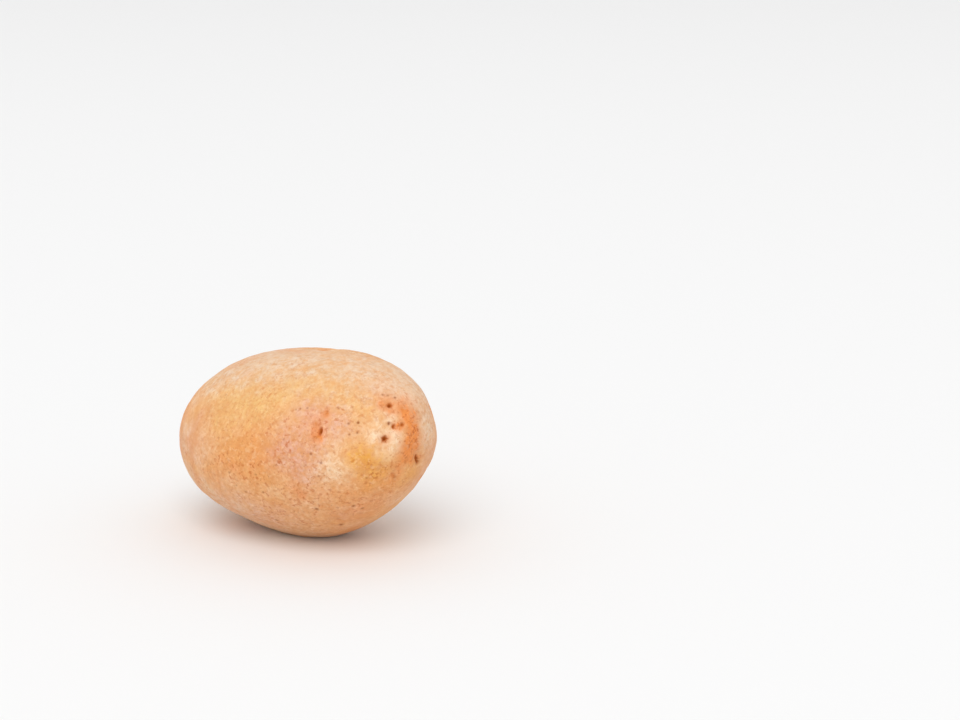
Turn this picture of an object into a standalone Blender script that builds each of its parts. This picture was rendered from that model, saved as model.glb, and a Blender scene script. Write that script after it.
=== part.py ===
"""One raw table potato, a single tuber lying on its side.

Metres, +Z up. The long axis runs along X, with the rose end, where most eyes sit, at +X and
the scar of the stolon at -X. The tuber rests on a small flat spot at Z = 0, and the origin is
on that level, under the middle of the tuber's box.

A place on the skin is given as (along, around): along runs from -1 at the stolon end to 1 at
the rose end, and around is in degrees about the long axis, 0 on top and 90 at the front (-Y).
"""

import math
import random

import bmesh
import bpy
import numpy as np

# Overall form
LENGTH = 0.103
WIDTH = 0.067
HEIGHT = 0.065
TAPER = -0.04  # share by which the body is slimmer at the rose end and fuller at the stolon end
BELLY_FLATTENING = 0.10  # share by which the lower half is shallower than the upper half
ENDS_LIFT = 0.0045  # both ends curve up by this much from the middle
ROSE_END_LIFT = 0.0065  # the rose end rides higher and the stolon end lower by this much
FLAT_SPOT_CUT = 0.0020  # how far the resting spot is cut up into the belly
MM = 0.001

# Broad swellings and hollows: along, around in degrees, spread in degrees, height in metres
SWELLINGS = (
    (-0.74, 28, 32, -0.0006),
    (-0.60, 110, 32, 0.0005),
    (-0.20, 140, 34, -0.0018),
    (0.50, -30, 36, 0.0010),
    (0.00, -40, 40, 0.0006),
    (0.25, 180, 30, 0.0022),
    (0.35, 180, 26, 0.0012),
    (0.35, -125, 30, 0.0009),
    (-0.45, -95, 34, -0.0010),
    (-0.35, 45, 26, 0.0005),
    (0.80, -65, 26, -0.0010),
    (-0.80, 103, 26, -0.0007),
    (0.55, 70, 30, -0.0005),
)
RIPPLE_HEIGHT = 0.00022
RIPPLE_WAVES = ((5.0, 3.0, 4.0, 0.4), (-3.0, 6.0, 2.0, 1.9), (2.0, -4.0, 7.0, 3.1))

# Small dents and rises scattered over the skin by a seeded draw
DENT_SEED = 11
DENT_COUNT = 46
DENT_SPREADS = (7, 16)  # degrees
DENT_HEIGHTS = (-0.00038, 0.00026)

# The eyes. Each has a shallow lens-shaped hollow, a raised brow on its stolon side and one or
# more bud pits: along, around, turn in degrees, half width across, hollow depth, brow height
# and the pits, each (towards the rose end, across, half length, half width, depth), in mm.
EYES = {
    "slit": (0.603, 68, 8, 4.4, 0.80, 0.24, ((0.0, 0.0, 0.60, 1.50, 1.20),)),
    "upper": (0.878, 25, 0, 3.4, 0.50, 0.14, ((0.0, 0.0, 0.85, 0.95, 1.00),)),
    "crown": (
        0.952, 46, 0, 3.6, 0.45, 0.10,
        ((-0.9, 1.0, 0.80, 0.85, 0.90), (1.6, -0.9, 0.75, 0.80, 0.85), (-2.5, 1.0, 0.50, 0.55, 0.45)),
    ),
    "pale": (0.927, 76, 0, 3.2, 0.50, 0.10, ((0.0, 0.0, 0.90, 1.00, 1.20),)),
    "tip": (0.967, -168, 75, 4.2, 0.95, 0.28, ((0.0, 0.0, 0.60, 1.75, 1.20),)),
    "tip_low": (0.907, 147, 20, 3.2, 0.50, 0.14, ((0.0, 0.0, 0.55, 1.00, 0.55),)),
    "tip_back": (0.860, -64, -10, 4.2, 0.80, 0.26, ((0.0, 0.0, 0.65, 1.30, 1.00),)),
    "tip_under": (0.800, -140, 5, 3.8, 0.65, 0.20, ((0.0, 0.0, 0.60, 1.10, 0.85),)),
    "front_low": (0.525, 154, -6, 3.8, 0.50, 0.18, ((0.0, 0.0, 0.50, 1.30, 0.60),)),
    "top": (0.060, -12, -8, 5.0, 0.85, 0.30, ((0.0, 0.0, 0.65, 1.50, 0.95),)),
    "back": (
        0.330, -104, 6, 5.4, 1.05, 0.34,
        ((0.0, -1.1, 0.60, 0.90, 0.95), (0.1, 1.1, 0.55, 0.85, 0.80)),
    ),
    "front_far": (-0.520, 150, 4, 4.8, 0.65, 0.24, ((0.0, 0.0, 0.55, 1.40, 0.75),)),
    "back_far": (-0.300, -70, -5, 5.2, 0.95, 0.32, ((0.0, 0.0, 0.65, 1.60, 0.95),)),
    "under_far": (-0.560, -150, 10, 4.6, 0.70, 0.24, ((0.0, 0.0, 0.55, 1.20, 0.75),)),
    "stolon_side": (-0.850, -20, -12, 4.2, 0.55, 0.22, ((0.0, 0.0, 0.50, 1.20, 0.65),)),
}
HOLLOW_SLIMNESS = 0.62  # an eye's hollow is this much shorter along the tuber than across it
BROW_SETBACK = 0.62  # the brow's distance from the pits, as a share of the hollow's half width
BROW_BEND = 0.055  # how strongly the brow curves round the pits, per mm
BROW_THICKNESS = 0.70  # mm

# The stolon scar: a round sunken navel with the stub of the broken stolon in it
SCAR_PLACE = (-0.988, 95)
SCAR_RADIUS = 4.6
SCAR_DEPTH = 1.5
STUB_RADIUS = 1.25
STUB_HEIGHT = 1.0

# The mesh: an even icosphere, whose faces are split again in zones round the eyes, their pits
# and the scar, each zone with its reach and the longest edge that is left in it, in mm
ICOSPHERE_LEVEL = 5
MOST_SPLITS = 3
EYE_ZONE = (4.6, 1.9)
PIT_ZONES = ((2.3, 1.1), (1.25, 0.55))
SCAR_ZONES = ((6.5, 1.9), (2.4, 1.1))
SMOOTH_ANGLE = math.radians(50)
FRAME_STEP = 0.01  # of a radian, for the slopes that give a place its directions

SKIN_COLOR = (0.80, 0.47, 0.22, 1.0)
SKIN_ROUGHNESS = 0.62


def clear_scene():
    """Removes whatever the scene holds."""
    for obj in list(bpy.data.objects):
        bpy.data.objects.remove(obj)


def direction(along, around):
    """The unit direction of a place on the skin."""
    ring = math.sqrt(1 - along * along)
    turn = math.radians(around)
    return np.array((along, -ring * math.sin(turn), ring * math.cos(turn)))


def scattered_dents():
    """The small dents and rises: each a unit direction, a spread and a height in metres."""
    draw = random.Random(DENT_SEED)
    dents = []
    for _ in range(DENT_COUNT):
        middle = direction(draw.uniform(-0.97, 0.97), draw.uniform(-180, 180))
        spread = math.radians(draw.uniform(*DENT_SPREADS)) ** 2 / 2
        dents.append((middle, spread, draw.uniform(*DENT_HEIGHTS)))
    return dents


DENTS = scattered_dents()


def normals_of(directions):
    """The outward normals of the plain ellipsoid at these directions."""
    scaled = directions / np.array((LENGTH, WIDTH, HEIGHT))
    return scaled / np.linalg.norm(scaled, axis=1)[:, None]


def body(directions):
    """The tuber without its eyes: a tapered, slightly bent ellipsoid with broad swellings."""
    along = directions[:, 0]
    girth = 1 + TAPER * along
    x = LENGTH / 2 * along
    y = WIDTH / 2 * directions[:, 1] * girth
    z = HEIGHT / 2 * directions[:, 2] * girth
    z = np.where(z < 0, z * (1 - BELLY_FLATTENING), z)
    z = z + ENDS_LIFT * along**2 + ROSE_END_LIFT * along
    height = np.zeros(len(directions))
    for place_along, place_around, spread, swell in SWELLINGS:
        cosine = directions @ direction(place_along, place_around)
        angle = np.arccos(np.clip(cosine, -1, 1))
        height += swell * np.exp(-((angle / math.radians(spread)) ** 2))
    for wave_x, wave_y, wave_z, phase in RIPPLE_WAVES:
        height += RIPPLE_HEIGHT * np.sin(directions @ np.array((wave_x, wave_y, wave_z)) + phase)
    for middle, spread, dent in DENTS:
        height += dent * np.exp((directions @ middle - 1) / spread)
    return np.stack((x, y, z), axis=1) + normals_of(directions) * height[:, None]


def skin_frame(along, around, turn=0):
    """A place's point on the body, and its directions to the rose end, across and outward.

    A turn, in degrees, swings the first two about the third.
    """
    here = direction(along, around)
    sideways = np.cross((1, 0, 0), here)
    sideways /= np.linalg.norm(sideways)
    forward = np.cross(here, sideways)
    near = np.array((here, here + FRAME_STEP * forward, here + FRAME_STEP * sideways))
    near /= np.linalg.norm(near, axis=1)[:, None]
    point, ahead, beside = body(near)
    outward = np.cross(beside - point, ahead - point)
    outward /= np.linalg.norm(outward)
    towards = (ahead - point) / np.linalg.norm(ahead - point)
    across = np.cross(towards, outward)
    swing = math.radians(turn)
    towards, across = (
        math.cos(swing) * towards + math.sin(swing) * across,
        math.cos(swing) * across - math.sin(swing) * towards,
    )
    return point, towards, across, outward


def local_mm(points, place):
    """The points seen from a place: mm towards the rose end, mm across and mm away in all."""
    point, towards, across, _ = skin_frame(*place)
    offset = (points - point) / MM
    return offset @ towards, offset @ across, np.linalg.norm(offset, axis=1)


def bump(distance):
    """A smooth round profile: 1 at no distance and almost 0 past twice its width."""
    return np.exp(-(distance**2))


def eye_relief(points, eye):
    """How far an eye moves the skin outward at these points, in metres."""
    along, around, turn, half_width, depth, brow, pits = eye
    ahead, beside, away = local_mm(points, (along, around, turn))
    half_length = HOLLOW_SLIMNESS * half_width
    height = -depth * bump(np.hypot(ahead / half_length, beside / half_width))
    brow_line = ahead + BROW_SETBACK * half_width - BROW_BEND * beside**2
    height += brow * bump(brow_line / BROW_THICKNESS) * bump(beside / half_width)
    for pit_ahead, pit_beside, pit_length, pit_width, pit_depth in pits:
        reach = np.hypot((ahead - pit_ahead) / pit_length, (beside - pit_beside) / pit_width)
        height -= pit_depth * np.exp(-(reach**3))
    return np.where(away < 4 * half_width, height, 0) * MM


def scar_relief(points):
    """How far the stolon scar moves the skin outward at these points, in metres."""
    _, _, away = local_mm(points, SCAR_PLACE)
    height = -SCAR_DEPTH * bump(away / SCAR_RADIUS)
    height += STUB_HEIGHT * np.exp(-((away / STUB_RADIUS) ** 4))
    return height * MM


def tuber(directions):
    """The skin's points for these unit directions, in its own frame before it is set down."""
    points = body(directions)
    relief = scar_relief(points)
    for eye in EYES.values():
        relief = relief + eye_relief(points, eye)
    return points + normals_of(directions) * relief[:, None]


def set_down(points):
    """Cuts the flat spot under the belly and moves the origin under the middle of the box."""
    floor = points[:, 2].min() + FLAT_SPOT_CUT
    points[:, 2] = np.maximum(points[:, 2], floor) - floor
    middle = (points.min(axis=0) + points.max(axis=0)) / 2
    points[:, :2] -= middle[:2]
    return points


def fine_zones():
    """The zones of finer faces: each a point on the body, its reach and its longest edge."""
    scar_point = skin_frame(*SCAR_PLACE)[0]
    zones = [(scar_point, reach, edge) for reach, edge in SCAR_ZONES]
    for along, around, turn, _, _, _, pits in EYES.values():
        point, towards, across, _ = skin_frame(along, around, turn)
        zones.append((point, *EYE_ZONE))
        for pit_ahead, pit_beside, _, _, _ in pits:
            pit = point + (pit_ahead * towards + pit_beside * across) * MM
            zones += [(pit, reach, edge) for reach, edge in PIT_ZONES]
    return zones


def refined_sphere():
    """A unit icosphere with finer faces where the eyes, their pits and the scar will be."""
    mesh = bmesh.new()
    bmesh.ops.create_icosphere(mesh, subdivisions=ICOSPHERE_LEVEL, radius=1)
    zones = fine_zones()
    for _ in range(MOST_SPLITS):
        faces = list(mesh.faces)
        corners = np.array([[vertex.co for vertex in face.verts] for face in faces])
        corners = body(corners.reshape(-1, 3)).reshape(-1, 3, 3) / MM
        sides = np.linalg.norm(corners - np.roll(corners, 1, axis=1), axis=2)
        wanted = np.full(len(faces), np.inf)
        for point, reach, edge in zones:
            away = np.linalg.norm(corners.mean(axis=1) - point / MM, axis=1)
            wanted = np.where(away < reach, np.minimum(wanted, edge), wanted)
        coarse = sides.mean(axis=1) > wanted
        split = {edge.index for face, big in zip(faces, coarse) if big for edge in face.edges}
        edges = [edge for edge in mesh.edges if edge.index in split]
        bmesh.ops.subdivide_edges(mesh, edges=edges, cuts=1, use_grid_fill=True)
        mixed = [face for face in mesh.faces if len(face.verts) > 3]
        bmesh.ops.triangulate(mesh, faces=mixed)
        for vertex in mesh.verts:
            vertex.co.normalize()
        mesh.edges.index_update()
    return mesh


def skin_material():
    """Pale tan skin, matt with a faint sheen."""
    material = bpy.data.materials.new("skin")
    material.use_nodes = True
    shader = material.node_tree.nodes["Principled BSDF"]
    shader.inputs["Base Color"].default_value = SKIN_COLOR
    shader.inputs["Roughness"].default_value = SKIN_ROUGHNESS
    shader.inputs["Metallic"].default_value = 0.0
    return material


def build_potato(collection):
    """The potato: one closed solid, its sphere's vertices moved onto the tuber's skin."""
    sphere = refined_sphere()
    directions = np.array([vertex.co.normalized() for vertex in sphere.verts])
    for vertex, place in zip(sphere.verts, set_down(tuber(directions))):
        vertex.co = place
    bmesh.ops.recalc_face_normals(sphere, faces=sphere.faces)
    data = bpy.data.meshes.new("potato")
    sphere.to_mesh(data)
    sphere.free()
    data.materials.append(skin_material())
    data.shade_smooth()
    data.set_sharp_from_angle(angle=SMOOTH_ANGLE)
    potato = bpy.data.objects.new("potato", data)
    collection.objects.link(potato)
    return potato


def main():
    """Builds the potato in a collection of its own."""
    clear_scene()
    collection = bpy.data.collections.new("potato")
    bpy.context.scene.collection.children.link(collection)
    build_potato(collection)


main()
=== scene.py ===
"""The looks of one raw table potato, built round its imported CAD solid.

Metres, +Z up, in the frame's own axes: the long axis runs along X with the rose end, where most
eyes sit, at +X. A place on the skin is given as (along, around): along runs from -1 at the
stolon end to 1 at the rose end, and around is in degrees about the long axis, 0 on top and 90
at the front (-Y). Sizes of small things on the skin are in millimetres. A bump or plateau is
next to nothing past BUMP_END times its width, and an eye's buds, marks and halos end at EYE_EDGE
times its half width.
"""

import logging
import math
import random
from collections.abc import Iterable, Mapping
from dataclasses import dataclass, field
from enum import Enum
from typing import NamedTuple

import bmesh
import bpy
import numpy as np
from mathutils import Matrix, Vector


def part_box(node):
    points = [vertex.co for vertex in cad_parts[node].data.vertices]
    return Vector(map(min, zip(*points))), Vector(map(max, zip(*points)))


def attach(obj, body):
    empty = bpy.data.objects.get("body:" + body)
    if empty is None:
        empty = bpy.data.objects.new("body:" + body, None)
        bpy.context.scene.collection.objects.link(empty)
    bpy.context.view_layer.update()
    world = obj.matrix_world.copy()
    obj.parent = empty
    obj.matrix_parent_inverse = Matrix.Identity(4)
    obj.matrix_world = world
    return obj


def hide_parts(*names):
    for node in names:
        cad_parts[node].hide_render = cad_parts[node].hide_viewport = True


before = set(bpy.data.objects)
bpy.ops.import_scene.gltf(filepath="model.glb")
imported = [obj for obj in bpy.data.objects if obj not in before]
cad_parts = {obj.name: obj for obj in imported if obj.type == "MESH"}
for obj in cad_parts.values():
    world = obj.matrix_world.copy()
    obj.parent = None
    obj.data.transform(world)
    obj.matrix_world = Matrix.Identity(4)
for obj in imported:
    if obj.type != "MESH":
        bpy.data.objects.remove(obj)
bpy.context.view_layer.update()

LOG = logging.getLogger("potato")
MM = 0.001
NODE = "potato"
BODY = "root"
BUMP_END = 3
EYE_EDGE = 2


# Places and small parts of the skin


class Place(NamedTuple):
    """A place on the skin, with a turn in degrees for the shape that lies there."""

    along: float
    around: float
    turn: float = 0.0

    def direction(self) -> np.ndarray:
        """The place's direction from the tuber's middle.

        Returns:
            the direction, of unit length.
        """
        ring = math.sqrt(1 - self.along**2)
        angle = math.radians(self.around)
        return np.array((self.along, -ring * math.sin(angle), ring * math.cos(angle)))


class Swelling(NamedTuple):
    """A broad swelling, or a hollow where its height is negative, with its spread in degrees."""

    along: float
    around: float
    spread: float
    height: float


class Pit(NamedTuple):
    """A bud pit in an eye, in mm from the eye's middle towards the rose end and across.

    LENGTH_SHARES is how dark the shortest pit is, and what each mm of half length adds.
    """

    DEPTH_POWER = 1.6
    LENGTH_SHARES = (0.5, 0.6)

    ahead: float
    beside: float
    half_length: float
    half_width: float
    depth: float

    def reach(self, ahead: np.ndarray, beside: np.ndarray, margin: float = 0.0) -> np.ndarray:
        """How far places in the eye are from the pit's middle.

        Args:
            ahead: mm from the eye's middle towards the rose end.
            beside: mm from the eye's middle across.
            margin: mm by which the edge is moved outward.

        Returns:
            the distances, where 1 is the edge.
        """
        return np.hypot(
            (ahead - self.ahead) / (self.half_length + margin),
            (beside - self.beside) / (self.half_width + margin),
        )

    def darkness(self) -> float:
        """How dark the pit is marked: less where it is shallow or short."""
        least, added = self.LENGTH_SHARES
        return min(1, self.depth**self.DEPTH_POWER) * min(1, least + added * self.half_length)


@dataclass(frozen=True)
class Eye:
    """An eye: a lens-shaped hollow with a brow on its stolon side and one or more pits."""

    place: Place
    half_width: float
    depth: float
    brow: float
    pits: tuple[Pit, ...]


class CorkOrShadeDot(NamedTuple):
    """A corky dot (lenticel), or, where its rise is 0, a dot of painted shade round an eye: its
    place, radius and rise in mm, and how dark it is.
    """

    place: Place
    radius: float
    rise: float
    darkness: float


class Waves(NamedTuple):
    """One layer of a random field: its wavelength in mm, its height and the seed of its draw."""

    wavelength: float
    height: float
    seed: int


class Tint(Enum):
    """The tints that are laid over the skin's ground colour, named as their attributes are."""

    PEACH = "tint_peach"
    LEMON = "tint_lemon"
    BLUSH = "tint_blush"
    CREAM = "tint_cream"
    OCHRE = "tint_ochre"
    RUST = "tint_rust"
    BLOOM = "tint_bloom"


class Mark(Enum):
    """The marks that follow the skin's small shapes, named as their attributes are."""

    PIT = "mark_pit"
    # Corky dots, and dots of painted shade round the eyes.
    CORK_AND_SHADE = "mark_cork_and_shade"
    STIPPLE = "mark_stipple"


EYES: dict[str, Eye] = {
    "slit": Eye(Place(0.603, 68, 8), 4.4, 0.80, 0.24, (Pit(0.0, 0.0, 0.60, 1.50, 1.20),)),
    "upper": Eye(Place(0.878, 25), 3.4, 0.50, 0.14, (Pit(0.0, 0.0, 0.85, 0.95, 1.00),)),
    "crown": Eye(
        Place(0.952, 46),
        3.6,
        0.45,
        0.10,
        (
            Pit(-0.9, 1.0, 0.80, 0.85, 0.90),
            Pit(1.6, -0.9, 0.75, 0.80, 0.85),
            Pit(-2.5, 1.0, 0.50, 0.55, 0.45),
        ),
    ),
    "pale": Eye(Place(0.927, 76), 3.2, 0.50, 0.10, (Pit(0.0, 0.0, 0.90, 1.00, 1.20),)),
    "tip": Eye(Place(0.967, -168, 75), 4.2, 0.95, 0.28, (Pit(0.0, 0.0, 0.60, 1.75, 1.20),)),
    "tip_low": Eye(Place(0.907, 147, 20), 3.2, 0.50, 0.14, (Pit(0.0, 0.0, 0.55, 1.00, 0.55),)),
    "tip_back": Eye(Place(0.860, -64, -10), 4.2, 0.80, 0.26, (Pit(0.0, 0.0, 0.65, 1.30, 1.00),)),
    "tip_under": Eye(Place(0.800, -140, 5), 3.8, 0.65, 0.20, (Pit(0.0, 0.0, 0.60, 1.10, 0.85),)),
    "front_low": Eye(Place(0.525, 154, -6), 3.8, 0.50, 0.18, (Pit(0.0, 0.0, 0.50, 1.30, 0.60),)),
    "top": Eye(Place(0.060, -12, -8), 5.0, 0.85, 0.30, (Pit(0.0, 0.0, 0.65, 1.50, 0.95),)),
    "back": Eye(
        Place(0.330, -104, 6),
        5.4,
        1.05,
        0.34,
        (Pit(0.0, -1.1, 0.60, 0.90, 0.95), Pit(0.1, 1.1, 0.55, 0.85, 0.80)),
    ),
    "front_far": Eye(Place(-0.520, 150, 4), 4.8, 0.65, 0.24, (Pit(0.0, 0.0, 0.55, 1.40, 0.75),)),
    "back_far": Eye(Place(-0.300, -70, -5), 5.2, 0.95, 0.32, (Pit(0.0, 0.0, 0.65, 1.60, 0.95),)),
    "under_far": Eye(
        Place(-0.560, -150, 10), 4.6, 0.70, 0.24, (Pit(0.0, 0.0, 0.55, 1.20, 0.75),)
    ),
    "stolon_side": Eye(
        Place(-0.850, -20, -12), 4.2, 0.55, 0.22, (Pit(0.0, 0.0, 0.50, 1.20, 0.65),)
    ),
}

Row = tuple[float, float, float, float, float]

# Soft patches: along, around, half sizes in mm along and across, and strength
PATCHES: dict[Tint | Mark, tuple[Row, ...]] = {
    Tint.PEACH: (
        (0.87, 26, 6, 6, 0.50),
        (0.165, 81, 11, 9, 0.68),
        (0.00, 87, 9, 8, 0.48),
        (0.24, 95, 9, 7, 0.40),
        (-0.43, 90, 9, 12, 0.64),
        (0.81, 4, 6, 5, 0.30),
        (0.65, 157, 6, 5, 0.50),
        (0.92, -158, 5, 4, 0.50),
        (0.648, 118, 9, 7, 0.48),
        (0.775, 124, 8, 7, 0.66),
        (0.80, 155, 8, 7, 0.70),
        (-0.20, 92, 12, 10, 0.35),
        (0.930, 110, 5, 5, 0.50),
        (0.57, 62, 6, 6, 0.60),
    ),
    Tint.LEMON: (
        (-0.01, 47, 17, 9, 0.80),
        (0.30, 35, 18, 9, 0.85),
        (-0.20, 62, 9, 8, 0.45),
        (0.575, 36, 11, 7, 0.50),
        (0.790, 50, 7, 8, 0.30),
    ),
    Tint.BLUSH: (
        (0.512, 86, 8, 8, 0.80),
        (0.425, 80, 7, 8, 0.60),
        (0.523, 54, 7, 5, 0.75),
        (0.715, 68, 7, 6, 0.72),
        (-0.21, 122, 14, 9, 0.45),
        (0.83, -8, 8, 7, 0.35),
        (0.535, 64, 5.5, 5.5, 0.55),
        (0.05, 134, 13, 8, 0.45),
        (0.62, 150, 9, 5, 0.30),
        (0.86, -165, 8, 6, 0.55),
        (0.955, -120, 6, 6, 0.65),
        (0.794, 16, 6, 5, 0.35),
    ),
    Tint.CREAM: (
        (0.728, 99, 5.0, 7.0, 0.50),
        (0.670, 105, 5.5, 4.5, 0.36),
        (0.770, 80, 4.0, 4.0, 0.35),
        (0.953, 90, 2.6, 3.0, 1.00),
        (0.965, 78, 2.4, 2.8, 1.00),
        (0.960, 66, 2.4, 2.8, 0.95),
        (0.925, 93, 3.2, 3.2, 1.00),
        (0.903, 83, 3.2, 3.8, 1.00),
        (0.918, 42, 2.4, 2.8, 0.60),
        (0.905, 58, 3.4, 3.2, 0.40),
        (-0.03, 104, 6, 4, 0.25),
        (0.31, 108, 5, 4, 0.25),
        (0.46, 124, 4, 4, 0.25),
    ),
    Tint.OCHRE: (
        (0.844, 98, 4.6, 5.0, 0.88),
        (0.800, 86, 4.6, 4.0, 0.50),
        (0.868, 110, 4.0, 4.2, 0.52),
        (0.795, 44, 2.4, 1.8, 0.45),
        (0.975, 168, 2.8, 3.2, 0.60),
        (0.90, 172, 5, 4, 0.35),
        (0.924, -171, 3.5, 3.5, 0.50),
        (0.850, -166, 4.0, 4.0, 0.25),
        (0.968, -170, 2.0, 2.6, 0.60),
        (0.948, 112, 3.2, 3.2, 0.35),
        (0.95, 178, 3.2, 3.2, 0.35),
        (0.84, 130, 6, 5, 0.30),
        (0.30, 100, 5, 4, 0.30),
    ),
    Tint.RUST: (
        (0.910, 2, 3.0, 3.0, 0.32),
        (0.956, 7, 2.6, 2.6, 0.50),
        (0.920, 18, 2.2, 2.4, 0.55),
        (0.951, 19, 2.2, 2.6, 0.72),
        (0.973, 15, 2.2, 2.6, 0.62),
        (0.981, 38, 2.2, 2.4, 0.75),
        (0.992, 20, 2.4, 2.4, 0.62),
        (0.990, 72, 2.2, 2.6, 0.80),
        (0.999, 40, 2.4, 2.6, 0.66),
        (0.987, 116, 2.3, 2.6, 0.80),
        (0.994, 169, 2.3, 2.6, 0.62),
        (0.970, 141, 2.3, 2.6, 0.72),
        (0.979, 168, 2.2, 2.4, 0.60),
        (0.950, 146, 2.2, 2.4, 0.30),
        (0.999, -60, 2.4, 2.6, 0.25),
        (0.974, -10, 2.4, 2.4, 0.22),
        (0.515, 66, 5.0, 5.0, 0.16),
        (0.800, 14, 5.0, 5.0, 0.12),
        (0.592, 69, 1.9, 2.5, 0.62),
        (0.590, 73, 1.4, 1.6, 0.65),
        (0.566, 63, 1.1, 1.8, 0.35),
        (0.601, 54, 1.1, 1.2, 0.90),
        (0.603, 56, 2.4, 2.4, 0.30),
        (0.858, 27, 2.2, 2.2, 0.60),
        (0.878, 25, 2.4, 2.4, 0.50),
        (0.945, 52, 1.5, 1.5, 0.60),
        (0.962, 44, 1.4, 1.4, 0.60),
        (0.927, 76, 1.7, 1.8, 0.60),
        (0.905, 152, 2.4, 2.0, 0.40),
        (0.968, -172, 1.5, 2.4, 0.60),
        (-0.09, 86, 1.8, 1.5, 0.28),
        (0.00, 90, 1.5, 1.8, 0.30),
        (0.06, 96, 1.7, 1.4, 0.22),
        (0.18, 90, 1.6, 1.8, 0.24),
        (0.450, 113, 2.4, 2.6, 0.35),
        (0.458, 118, 1.6, 1.6, 0.55),
    ),
    Tint.BLOOM: (
        (0.02, 10, 28, 9, 0.85),
        (-0.35, 26, 16, 9, 0.70),
        (0.66, -8, 14, 10, 0.85),
        (0.60, 18, 12, 6, 0.45),
        (0.86, -18, 9, 8, 0.90),
        (0.955, -35, 7, 7, 0.90),
        (0.995, -90, 5, 6, 0.62),
        (-0.60, 76, 14, 14, 0.05),
        (0.15, 29, 10, 5, 0.50),
        (-0.20, 34, 9, 5, 0.45),
        (-0.25, 122, 9, 6, 0.65),
    ),
    Mark.STIPPLE: (
        (0.47, 92, 15, 13, 0.90),
        (0.10, 92, 16, 10, 0.72),
        (0.35, 132, 20, 12, 0.78),
        (0.985, 60, 8, 8, 0.95),
        (0.555, 66, 7, 7, 0.55),
        (0.80, 105, 9, 9, 0.52),
        (0.82, 148, 11, 10, 0.72),
        (0.10, 48, 26, 10, 0.25),
        (-0.10, 80, 12, 9, 0.55),
        (0.74, 48, 9, 9, 0.45),
    ),
}

# Corky dots, and dots of painted shade round the eyes: along, around, radius and rise in mm, and
# darkness
PLACED_CORK_AND_SHADE_DOTS: tuple[Row, ...] = (
    (0.747, 60, 0.55, -0.03, 0.80),
    (0.793, 58, 0.58, -0.04, 0.95),
    (0.805, 68, 0.55, -0.03, 0.85),
    (0.769, 70, 0.50, -0.03, 0.75),
    (0.812, 20, 0.55, -0.04, 0.70),
    (0.833, 17, 0.55, -0.04, 0.75),
    (0.864, 13, 0.55, -0.04, 0.70),
    (0.425, 53, 0.52, -0.03, 0.65),
    (0.467, 52, 0.52, -0.03, 0.65),
    (0.556, 44, 0.40, -0.03, 0.40),
    (0.601, 53, 0.75, -0.03, 0.50),
    (0.653, 48, 0.52, -0.03, 0.65),
    (0.329, 77, 0.36, 0.03, 0.45),
    (0.372, 76, 0.34, 0.03, 0.40),
    (0.574, 84, 0.55, 0.03, 0.85),
    (0.633, 92, 0.52, -0.03, 0.75),
    (0.609, 103, 0.52, -0.03, 0.75),
    (0.005, 104, 0.42, 0.04, 0.65),
    (0.066, 109, 0.58, 0.05, 0.85),
    (0.203, 110, 0.52, 0.04, 0.80),
    (0.498, 133, 0.85, -0.05, 0.85),
    (0.496, 160, 0.95, -0.05, 0.95),
    (0.682, 145, 0.75, -0.05, 0.80),
    (0.694, 154, 0.70, -0.05, 0.75),
    (0.151, 138, 0.75, -0.04, 0.75),
    (0.131, 127, 0.44, 0.04, 0.60),
    (0.176, 129, 0.42, 0.04, 0.55),
    (0.052, 123, 0.40, 0.04, 0.50),
    (0.386, 74, 0.55, 0.02, 0.55),
    (0.401, 86, 0.50, 0.02, 0.50),
    (0.466, 89, 0.50, 0.02, 0.50),
    (0.543, 92, 0.50, -0.02, 0.55),
    (0.674, 100, 0.50, -0.02, 0.50),
    (0.650, 106, 0.50, -0.02, 0.55),
    (0.725, 108, 0.45, -0.02, 0.45),
    (0.829, 123, 0.60, -0.03, 0.60),
    (0.398, 54, 0.50, -0.02, 0.55),
    (0.724, 44, 0.50, -0.02, 0.50),
    (0.347, 90, 0.55, 0.02, 0.55),
    (0.188, 96, 0.55, 0.02, 0.55),
    (-0.149, 75, 0.60, 0.02, 0.60),
    (-0.032, 95, 0.60, 0.02, 0.60),
    (-0.040, 83, 0.50, 0.02, 0.50),
    # The rows with no rise are dots of painted shade: they darken the skin round the eyes' hollows
    # and pits, where shade falls.
    (0.588, 73, 1.5, 0.0, 0.42),
    (0.562, 62, 1.6, 0.0, 0.40),
    (0.592, 79, 1.2, 0.0, 0.36),
    (0.603, 53, 1.5, 0.0, 0.38),
    (0.922, 18, 1.6, 0.0, 0.36),
    (0.924, 75, 1.8, 0.0, 0.36),
    (0.953, -165, 0.95, 0.0, 0.95),
    (0.963, -166, 0.85, 0.0, 0.80),
    (0.903, 153, 1.2, 0.0, 0.48),
    (0.921, 50, 0.75, 0.0, 0.85),
)


# Smooth random fields and profiles


class WaveField:
    """A smooth random field in space, made of plane waves of about one wavelength.

    SPREAD is the shortest and the longest wave, in shares of that wavelength.
    """

    SPREAD = (0.7, 1.45)

    def __init__(self, wavelength: float, seed: int, waves: int = 30) -> None:
        """Draws the waves.

        Args:
            wavelength: the waves' middle length, in mm.
            seed: the seed of the draw, so that every run gives the same field.
            waves: how many waves are added up.
        """
        draw = np.random.default_rng(seed)
        headings = draw.normal(size=(waves, 3))
        headings /= np.linalg.norm(headings, axis=1)[:, None]
        lengths = wavelength * draw.uniform(*self.SPREAD, waves)
        self._vectors = (2 * math.pi / lengths)[:, None] * headings
        self._phases = draw.uniform(0, 2 * math.pi, waves)

    def at(self, points: np.ndarray) -> np.ndarray:
        """The field at these points in mm: about 0 on average, mostly between -2 and 2."""
        waves = np.cos(points @ self._vectors.T + self._phases)
        return waves.sum(axis=1) * math.sqrt(2 / len(self._phases))


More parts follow.
